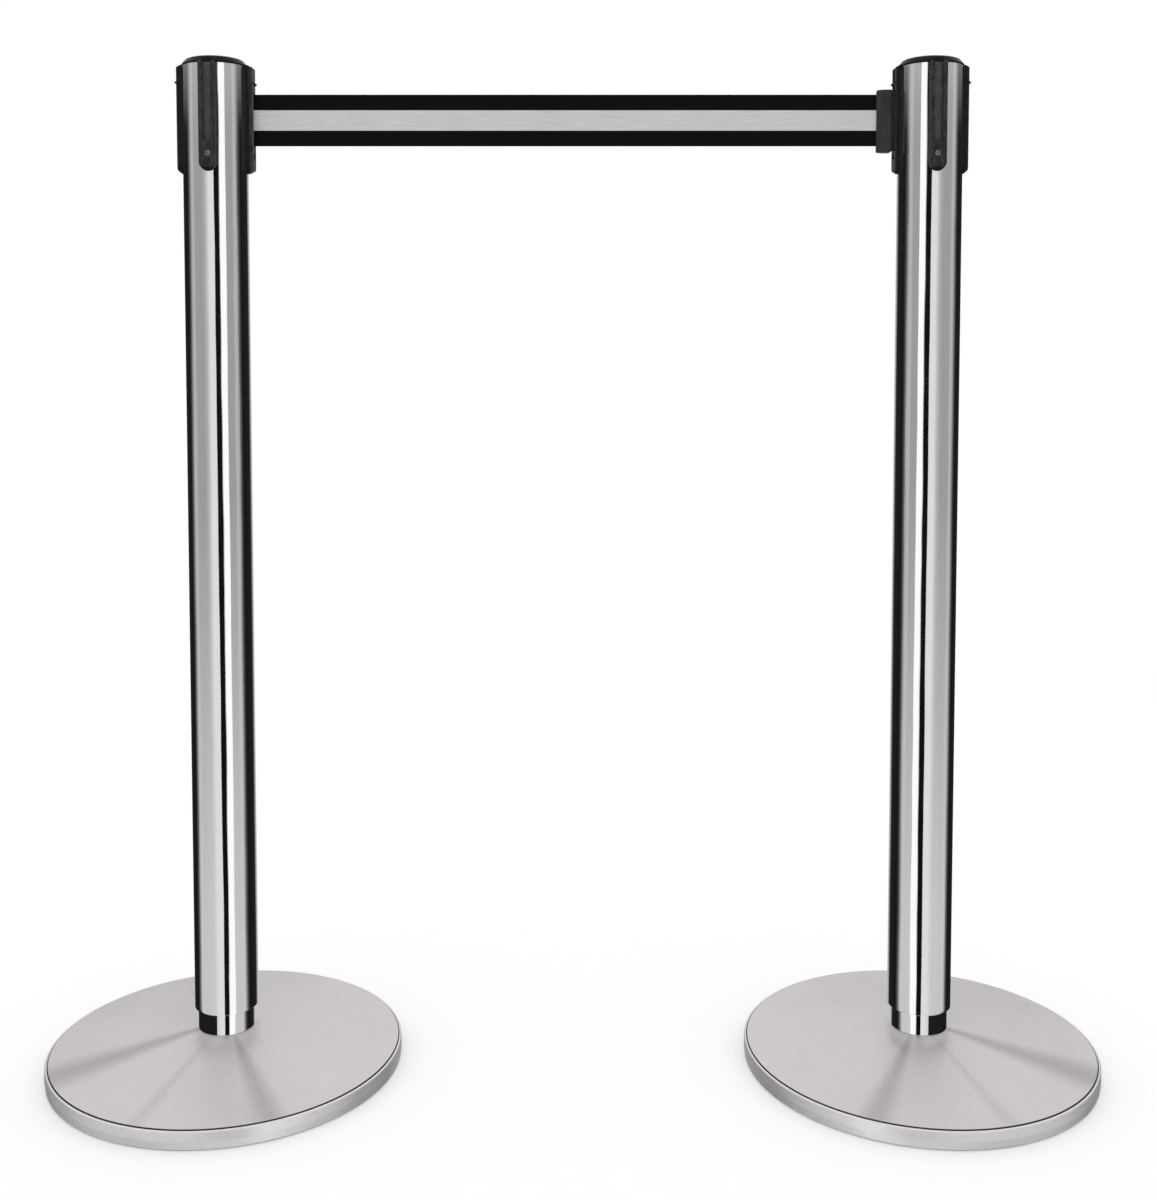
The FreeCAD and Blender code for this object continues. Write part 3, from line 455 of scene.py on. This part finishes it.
def stand_for(piece, nodes, body):
    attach(piece, body)
    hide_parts(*nodes)


def even_normals(piece):
    """Large faces keep their true normals where small rounded ones meet them."""
    modifier = piece.modifiers.new("even_normals", "WEIGHTED_NORMAL")
    modifier.keep_sharp = True
    modifier.weight = 100


def rounded(corners, steps=6):
    """The closed outline through (radius, height, corner radius) points, with round corners."""
    points = []
    for k, (r, z, size) in enumerate(corners):
        corner = Vector((r, z))
        if size == 0:
            points.append((r, z))
            continue
        before = (Vector(corners[k - 1][:2]) - corner).normalized()
        after = (Vector(corners[(k + 1) % len(corners)][:2]) - corner).normalized()
        half = before.angle(after) / 2
        centre = corner + (before + after).normalized() * size / math.sin(half)
        start = corner + before * size / math.tan(half) - centre
        turn = start.angle_signed(corner + after * size / math.tan(half) - centre)
        for step in range(steps + 1):
            angle = -turn * step / steps
            x = start.x * math.cos(angle) - start.y * math.sin(angle)
            y = start.x * math.sin(angle) + start.y * math.cos(angle)
            points.append((centre.x + x, centre.y + y))
    return points


def lathe(name, outline, centre, material, segments=SEGMENTS, flatten=None):
    """A solid of revolution round an upright axis. flatten may move each point before it is placed."""
    builder = bmesh.new()
    rings = []
    for k in range(segments):
        turn = 2 * math.pi * k / segments
        ring = []
        for r, z in outline:
            place = Vector((r * math.cos(turn), r * math.sin(turn), z))
            if flatten:
                place = flatten(place)
            ring.append(builder.verts.new(place + centre))
        rings.append(ring)
    for k, ring in enumerate(rings):
        following = rings[(k + 1) % segments]
        for j in range(len(outline)):
            i = (j + 1) % len(outline)
            builder.faces.new((ring[j], following[j], following[i], ring[i]))
    bmesh.ops.remove_doubles(builder, verts=builder.verts, dist=WELD)
    piece = new_piece(name, builder, material)
    even_normals(piece)
    return piece


def softened(node, width, body, segments=2):
    """A copy of a CAD node, welded and with its edges softened, which stands for it."""
    builder = bmesh.new()
    builder.from_mesh(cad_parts[node].data)
    bmesh.ops.remove_doubles(builder, verts=builder.verts, dist=WELD)
    bmesh.ops.dissolve_limit(
        builder, angle_limit=math.radians(0.5), verts=builder.verts, edges=builder.edges
    )
    piece = new_piece(node + "_finished", builder, node_material(node))
    bevel = piece.modifiers.new("soft_edges", "BEVEL")
    bevel.width = width
    bevel.segments = segments
    bevel.limit_method = "ANGLE"
    bevel.angle_limit = SHARP
    bevel.harden_normals = True
    stand_for(piece, [node], body)
    return piece


def unmirrored(piece):
    """Keeps a piece out of the polished tube's and neck's reflections."""
    piece.visible_glossy = False


# ------------------------------------------------------------------ base and post

def base_cover(side):
    """The spun cover: a slightly bulging rim, a shadow groove, then a shallow cone to a flat land.

    The cone's lip stands over the groove, so that the groove shows from in front and not over the cone.
    """
    low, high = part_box(side + "_base_cover")
    rim = (high.x - low.x) / 2
    groove_outer = rim - RIM_SHOULDER
    groove_inner = groove_outer - SEAM_WIDTH
    groove_floor = RIM_TOP - SEAM_DEPTH
    under_groove = groove_floor - COVER_SHEET
    hem = rim - 2 * COVER_SHEET
    outline = rounded([
        (rim - 0.9 * MM, low.z, 0.3 * MM),
        (rim, low.z + 7.5 * MM, 12.0 * MM),
        (rim - 0.35 * MM, RIM_TOP, 1.7 * MM),
        (groove_outer, RIM_TOP, 0.2 * MM),
        (groove_outer, groove_floor, 0),
        (groove_inner, groove_floor, 0),
        (groove_inner, RIM_TOP + CONE_LIP, 0.25 * MM),
        (CONE_TOP_RADIUS, high.z, 9.0 * MM),
        (COVER_HOLE, high.z, 0),
        (COVER_HOLE, high.z - COVER_SHEET, 0),
        (CONE_TOP_RADIUS, high.z - COVER_SHEET, 0),
        (groove_inner, under_groove, 0),
        (hem, under_groove, 0),
        (hem, low.z, 0.3 * MM),
    ])
    piece = lathe(side + "_spun_cover", outline, post_axis(side), cover_steel[side], COVER_SEGMENTS)
    unmirrored(piece)
    stand_for(piece, [side + "_base_cover"], side + "_stanchion")


def neck_ring(side):
    """The polished collar between base and tube."""
    low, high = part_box(side + "_neck_collar")
    outer = (high.x - low.x) / 2
    outline = rounded([
        (COLLAR_BORE, low.z, 0),
        (outer, low.z, 0.5 * MM),
        (outer, high.z, 0.3 * MM),
        (COLLAR_BORE, high.z, 0),
    ])
    piece = lathe(side + "_neck_ring", outline, post_axis(side), neck_steel)
    stand_for(piece, [side + "_neck_collar"], side + "_stanchion")


def pad_ring(side):
    """The rubber pad, ribbed underneath so that it grips the floor."""
    low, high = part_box(side + "_floor_pad")
    outer = (high.x - low.x) / 2
    pitch = (outer - PAD_HOLE) / (2 * PAD_RIBS - 1)
    rib_top = low.z + PAD_RIB_DEPTH
    corners = [(PAD_HOLE, high.z, 0)]
    for k in range(PAD_RIBS):
        start = PAD_HOLE + 2 * k * pitch
        corners.append((start, low.z, 0.25 * MM))
        corners.append((start + pitch, low.z, 0.25 * MM))
        if k < PAD_RIBS - 1:
            corners.append((start + pitch, rib_top, 0))
            corners.append((start + 2 * pitch, rib_top, 0))
    corners.append((outer, high.z, 0.4 * MM))
    piece = lathe(side + "_ribbed_pad", rounded(corners, 2), post_axis(side), pad_rubber)
    unmirrored(piece)
    stand_for(piece, [side + "_floor_pad"], side + "_stanchion")


def slot_columns(radius):
    """Angles round one quarter of the tube: before its slot, across the slot and after it."""
    edge = math.asin(SLOT_HALF_WIDTH / radius)
    half, rest = 10, 22
    inside = [edge * math.sin(math.pi / 2 * k / half) for k in range(-half, half + 1)]
    beside = [edge + (math.pi / 4 - edge) * k / rest for k in range(1, rest + 1)]
    return [-angle for angle in reversed(beside[:-1])], inside, beside


def tube_wall(side):
    """The polished tube with its four slots, open at the top and round at the foot."""
    low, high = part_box(side + "_post_tube")
    radius = (high.x - low.x) / 2
    centre = post_axis(side)
    shoulder = SLOT_FOOT_Z + SLOT_HALF_WIDTH
    before, inside, after = slot_columns(radius)
    columns = []
    for quarter in QUARTER_TURNS:
        for angle in before + inside + after:
            across = radius * math.sin(angle)
            in_slot = abs(across) < SLOT_HALF_WIDTH - WELD
            heights = [low.z, low.z + 300 * MM, low.z + 600 * MM, SLOT_FOOT_Z - 6 * MM]
            if in_slot:
                heights.append(shoulder - math.sqrt(SLOT_HALF_WIDTH ** 2 - across ** 2))
            else:
                heights += [shoulder, high.z]
            columns.append((quarter + angle, heights))
    builder = bmesh.new()
    rows = [
        [
            builder.verts.new(centre + Vector((radius * math.cos(turn), radius * math.sin(turn), z)))
            for z in heights
        ]
        for turn, heights in columns
    ]
    for k, row in enumerate(rows):
        following = rows[(k + 1) % len(rows)]
        for j in range(min(len(row), len(following)) - 1):
            builder.faces.new((row[j], following[j], following[j + 1], row[j + 1]))
    piece = new_piece(side + "_tube_wall", builder, tube_steel)
    wall = piece.modifiers.new("wall", "SOLIDIFY")
    wall.thickness = TUBE_WALL
    wall.offset = -1
    wall.use_even_offset = True
    edges = piece.modifiers.new("soft_edges", "BEVEL")
    edges.width = TUBE_EDGE
    edges.segments = 3
    edges.limit_method = "ANGLE"
    edges.angle_limit = SHARP
    edges.harden_normals = True
    stand_for(piece, [side + "_post_tube"], side + "_stanchion")


def cap_shell(side):
    """The domed cap, notched over the three receivers, with its shallow recess for the disc."""
    low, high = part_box(side + "_top_cap")
    inside = CAP_SPIGOT - CAP_WALL
    recess_floor = high.z - CAP_RECESS_DEPTH
    notches = [turn for turn in QUARTER_TURNS if abs(turn - OUTLET_TURN[side]) > 0.1]

    def notched(place):
        for turn in notches:
            out = Vector((math.cos(turn), math.sin(turn), 0))
            along = Vector((-math.sin(turn), math.cos(turn), 0))
            depth = place.dot(out) - NOTCH_BACK
            if depth > 0 and abs(place.dot(along)) < NOTCH_HALF_WIDTH:
                return place - out * depth
        return place

    outline = rounded([
        (0, low.z, 0),
        (CAP_BOSS, low.z, 0.3 * MM),
        (CAP_BOSS, CAP_PLATE, 0),
        (inside, CAP_PLATE, 0),
        (inside, CAP_SPIGOT_FOOT, 0.3 * MM),
        (CAP_SPIGOT, CAP_SPIGOT_FOOT, 0.3 * MM),
        (CAP_SPIGOT, TUBE_TOP, 0),
        (CAP_RADIUS, TUBE_TOP, 0.25 * MM),
        (CAP_RADIUS, high.z - 6.6 * MM, 1.5 * MM),
        (CAP_RADIUS - 4.2 * MM, high.z - 1.6 * MM, 5.0 * MM),
        (CAP_RECESS + 0.4 * MM, high.z, 6.0 * MM),
        (CAP_RECESS, high.z - 0.15 * MM, 0),
        (CAP_RECESS, recess_floor, 0),
        (0, recess_floor, 0),
    ])
    piece = lathe(side + "_cap_shell", outline, post_axis(side), cap_plastic, SEGMENTS, notched)
    stand_for(piece, [side + "_top_cap"], side + "_stanchion")


def cap_disc(side):
    """The blank disc in the cap's recess."""
    low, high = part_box(side + "_cap_inlay")
    outer = (high.x - low.x) / 2
    outline = rounded([(0, low.z, 0), (outer, low.z, 0), (outer, high.z, 0.2 * MM), (0, high.z, 0)])
    piece = lathe(side + "_cap_disc", outline, post_axis(side), cap_gloss)
    stand_for(piece, [side + "_cap_inlay"], side + "_stanchion")


# ------------------------------------------------------------------ belt

def belt_section():
    """Closed (across the thickness, height, v) points: rounded selvedges and a flat middle."""
    half = BELT_HALF_THICKNESS
    rising = [(half * share, height * MM) for height, share in SELVEDGE]
    middle = [(half, STRIPE_HALF_WIDTH * k / 2) for k in range(-4, 5)]
    front = [(reach, BELT_LOW + h) for reach, h in rising]
    front += [(reach, BELT_MIDDLE + h) for reach, h in middle]
    front += [(reach, BELT_HIGH - h) for reach, h in reversed(rising)]
    back = [(-reach, z) for reach, z in reversed(front[1:-1])]
    return front + back


def ribbon(name, path):
    """An upright belt along plan points. Its UVs are metres along it and from its middle."""
    section = belt_section()
    builder = bmesh.new()
    uv = builder.loops.layers.uv.new("metres")
    along = [0.0]
    for a, b in zip(path, path[1:]):
        along.append(along[-1] + (b - a).length)
    rings = []
    for k, point in enumerate(path):
        ahead = path[min(k + 1, len(path) - 1)] - path[max(k - 1, 0)]
        side = Vector((ahead.y, -ahead.x, 0)).normalized()
        rings.append([
            builder.verts.new(Vector((point.x, point.y, z)) + side * reach) for reach, z in section
        ])
    for k in range(len(rings) - 1):
        for j in range(len(section)):
            i = (j + 1) % len(section)
            face = builder.faces.new((rings[k][j], rings[k + 1][j], rings[k + 1][i], rings[k][i]))
            places = ((k, j), (k + 1, j), (k + 1, i), (k, i))
            for loop, (row, column) in zip(face.loops, places):
                loop[uv].uv = (along[row], section[column][1] - BELT_MIDDLE)
    for ring, row in ((rings[0], 0), (rings[-1], -1)):
        face = builder.faces.new(ring)
        for loop, (reach, z) in zip(face.loops, section):
            loop[uv].uv = (along[row], z - BELT_MIDDLE)
    piece = new_piece(name, builder, web_cloth)
    unmirrored(piece)
    return piece


def straight(start, end, step):
    count = max(1, round((end - start).length / step))
    return [start.lerp(end, k / count) for k in range(count + 1)]


def lead_in(side):
    """Plan points from the roll to the outlet's throat, in the post's own frame, outlet along +X."""
    low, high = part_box(side + "_belt_roll")
    radius = (high.x - low.x) / 2 + ROLL_GAP + BELT_HALF_THICKNESS
    angle = math.acos(radius / THROAT)
    touch = Vector((radius * math.cos(angle), radius * math.sin(angle), 0))
    throat = Vector((THROAT, 0, 0))
    start = throat + (touch - throat).normalized() * THROAT_BEND
    end = throat + Vector((THROAT_BEND, 0, 0))
    steps = 6
    turn = []
    for k in range(steps + 1):
        t = k / steps
        turn.append(start.lerp(throat, t).lerp(throat.lerp(end, t), t))
    return [touch] + turn


def turned(points, side):
    """Points from a post's own frame into the row's frame."""
    angle = OUTLET_TURN[side]
    return [
        Vector((p.x * math.cos(angle) - p.y * math.sin(angle),
                p.x * math.sin(angle) + p.y * math.cos(angle), 0)) + post_axis(side)
        for p in points
    ]


def drawn_belt():
    """The left post's belt across to the right post, as two stretches that meet end to end."""
    web_low, web_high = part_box("left_clip_web")
    join = web_low.x
    lead = turned(lead_in("left"), "left")
    run = straight(Vector((lead[-1].x, 0, 0)), Vector((join, 0, 0)), BELT_STEP)
    post_web = ribbon("left_belt", lead + run[1:])
    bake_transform(post_web)
    run = straight(Vector((join, 0, 0)), Vector((web_high.x, 0, 0)), BELT_STEP)
    clip_web = ribbon("left_belt_end", run)
    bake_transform(clip_web)
    for piece, node in ((post_web, "left_post_web"), (clip_web, "left_clip_web")):
        declare_belt(node)


def parked_belt():
    """The right post's own belt, drawn in, with only its end outside the outlet."""
    web_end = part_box("right_web")[1].y
    centre = post_axis("right")
    lead = turned(lead_in("right"), "right")
    run = straight(lead[-1], Vector((centre.x, web_end, 0)), PARKED_BELT_STEP)
    piece = ribbon("right_belt", lead + run[1:])
    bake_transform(piece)
    declare_belt("right_web")


def declare_belt(node):
    """Hides a belt's CAD node, so that the belt drawn here stands for it."""
    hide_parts(node)


# ------------------------------------------------------------------ stage

def floor():
    """A wide pale floor that fades into the white room, and that mirrors do not see."""
    builder = bmesh.new()
    bmesh.ops.create_circle(builder, cap_ends=True, segments=96, radius=FLOOR_RADIUS)
    s = Surface(
        "studio_floor", Roughness=0.9, Specular_IOR_Level=0.1,
        Emission_Color=grey(1.0), Emission_Strength=0.13
    )
    tint = s.noise(s.coordinates(), 40)
    s.set("Base Color", s.mix(tint, grey(0.88), grey(0.90)))
    reach = s.node("VectorMath", {0: s.coordinates()}, "Value", operation="LENGTH")
    fade = s.range(reach, FLOOR_FADE_START, FLOOR_FADE_END, 0.0, 1.0, smooth=True)
    white = s.node("Emission", {"Color": grey(1.0), "Strength": 1.0})
    blend = s.node("MixShader", {0: fade, 1: s.shader.outputs[0], 2: white})
    s.tree.links.new(blend, s.tree.nodes["Material Output"].inputs["Surface"])
    piece = new_piece("studio_floor", builder, s.material)
    piece.location.z = -FLOOR_GAP
    unmirrored(piece)


def card(name, corners, brightness, reach=None):
    """A flat studio card that only shiny surfaces see, and only those within its reach if it has one."""
    builder = bmesh.new()
    builder.faces.new([builder.verts.new(corner) for corner in corners])
    s = Surface(name)
    glow = s.node("Emission", {"Color": grey(1.0), "Strength": brightness})
    if reach is not None:
        far = s.math("GREATER_THAN", s.node("LightPath", {}, "Ray Length"), reach)
        glow = s.node("MixShader", {0: far, 1: glow, 2: s.node("BsdfTransparent", {})})
    s.tree.links.new(glow, s.tree.nodes["Material Output"].inputs["Surface"])
    piece = new_piece(name, builder, s.material)
    piece.visible_camera = False
    piece.visible_diffuse = False
    piece.visible_shadow = False
    piece.visible_transmission = False


def upright_card(name, start, end, low, high, brightness, reach=None):
    """A card over a line on the floor, from one height to another."""
    corners = [(*start, low), (*end, low), (*end, high), (*start, high)]
    card(name, corners, brightness, reach)


def studio_cards():
    """A dark flag before the camera, a white card between the posts, and a dark arc round each neck."""
    upright_card("dark_flag", (-0.24, -1.42), (0.24, -1.42), low=-0.9, high=1.9, brightness=0.006)
    upright_card("white_card", (0, -0.76), (0, -0.36), low=-0.6, high=1.9, brightness=1.25)
    for side, outward in (("left", -1), ("right", 1)):
        centre = post_axis(side)
        ends = []
        for degrees in FLAG_CORNERS:
            turn = math.radians(degrees)
            across, forward = FLAG_RADIUS * math.sin(turn), FLAG_RADIUS * math.cos(turn)
            ends.append((centre.x + outward * across, centre.y - forward))
        for k, (start, end) in enumerate(zip(ends, ends[1:])):
            name = side + "_neck_flag_" + str(k)
            upright_card(name, start, end, FLAG_LOW, FLAG_HIGH, brightness=0.015, reach=2 * FLAG_RADIUS)


def ramp(tree, value, stops):
    """A grey ramp of (degrees from the front, brightness) stops over half a turn."""
    node = tree.nodes.new("ShaderNodeValToRGB")
    tree.links.new(value, node.inputs[0])
    elements = node.color_ramp.elements
    while len(elements) < len(stops):
        elements.new(0.5)
    for element, (degrees, brightness) in zip(elements, stops):
        element.position = degrees / 180
        element.color = grey(brightness)
    return node.outputs[0]


def room():
    """A white studio: even to the eye and to matt surfaces, with dark gaps that polished ones see.

    Its ramps are for looking level, down at the floor, steeply down, and up.
    """
    world = bpy.data.worlds.new("studio")
    bpy.context.scene.world = world
    world.use_nodes = True
    tree = world.node_tree

    def node(kind, inputs, output=0, **attributes):
        return add_node(tree, kind, inputs, output, **attributes)

    def layered(lower, upper, height, start, end):
        """Goes over from one ramp to the next between two heights of view."""
        share = node("MapRange", {"Value": height, 1: start, 2: end, 3: 0.0, 4: 1.0})
        return node("Mix", {0: share, 6: lower, 7: upper}, 2, data_type="RGBA")

    direction = node("TexCoord", {}, "Generated")
    forward = node("Math", {0: node("SeparateXYZ", {0: direction}, 1), 1: -1.0}, operation="MULTIPLY")
    turn = node("Math", {0: node("SeparateXYZ", {0: direction}, 0), 1: forward}, operation="ARCTAN2")
    turn = node("Math", {0: turn}, operation="ABSOLUTE")
    turn = node("Math", {0: turn, 1: math.pi}, operation="DIVIDE")
    height = node("SeparateXYZ", {0: direction}, 2)
    rear = [(93, 0.22), (100, 0.05), (108, 0.01), (150, 0.02), (162, 0.45), (180, 0.62)]
    front = [(0, 0.92), (14, 0.92), (28, 0.53), (40, 0.42), (69, 0.42), (78, 0.60), (86, 0.50)]
    level = ramp(tree, turn, front + rear)
    front = [(0, 0.92), (14, 0.92), (30, 0.74), (70, 0.70), (80, 0.74), (86, 0.60)]
    below = ramp(tree, turn, front + rear)
    above = ramp(tree, turn, [(0, 0.90), (60, 0.84), (120, 0.80), (180, 0.86)])
    front = [(0, 0.80), (14, 0.74), (28, 0.46), (69, 0.42), (78, 0.62), (86, 0.52)]
    rear = [(93, 0.25), (100, 0.08), (112, 0.04), (150, 0.06), (162, 0.42), (180, 0.60)]
    steep = ramp(tree, turn, front + rear)
    seen = layered(level, below, height, -0.10, -0.36)
    seen = layered(seen, steep, height, -0.43, -0.52)
    seen = layered(seen, above, height, 0.14, 0.30)
    glossy = node("LightPath", {}, "Is Glossy Ray")
    colour = node("Mix", {0: glossy, 6: grey(1.0), 7: seen}, 2, data_type="RGBA")
    tree.links.new(colour, tree.nodes["Background"].inputs["Color"])


def camera():
    """A little below the heads, close enough to look down on the bases."""
    data = bpy.data.cameras.new("camera")
    data.lens = 44.85
    data.sensor_width = 36.0
    data.shift_x = 0.0048
    data.shift_y = -0.14
    eye = bpy.data.objects.new("camera", data)
    bpy.context.scene.collection.objects.link(eye)
    eye.location = (0.0, -CAMERA_DISTANCE, CAMERA_HEIGHT)
    eye.rotation_euler = (math.pi / 2 - CAMERA_DIP, 0, 0)
    bpy.context.scene.camera = eye


def stanchion(side, receivers):
    """Everything of one post that gets a finer piece than its CAD node."""
    body = side + "_stanchion"
    base_cover(side)
    neck_ring(side)
    pad_ring(side)
    unmirrored(softened(side + "_base_weight", IRON_EDGE, body))
    tube_wall(side)
    cap_shell(side)
    cap_disc(side)
    for name in receivers:
        softened(side + "_" + name, MOULDED_EDGE, body)
    softened(side + "_belt_outlet", MOULDED_EDGE, body)
    softened(side + "_receiver_screws", SCREW_EDGE, body)
    softened(side + "_tie_bolt", BOLT_EDGE, body)


def clips():
    """The docked clip of the left post's belt, and the parked one of the right post's."""
    for name in ("left_clip_front", "left_clip_back"):
        softened(name, CLIP_EDGE, "belt_clip")
    for name in ("right_clip_outer", "right_clip_inner"):
        softened(name, CLIP_EDGE, "spare_clip")
    softened("left_clip_rivets", RIVET_EDGE, "belt_clip")
    softened("right_clip_rivets", RIVET_EDGE, "spare_clip")


finish_nodes()
stanchion("left", ("back_receiver", "outer_receiver", "front_receiver"))
stanchion("right", ("inner_receiver", "front_receiver", "outer_receiver"))
clips()
drawn_belt()
parked_belt()
floor()
studio_cards()
room()
camera()
bpy.context.scene.view_settings.view_transform = "Standard"
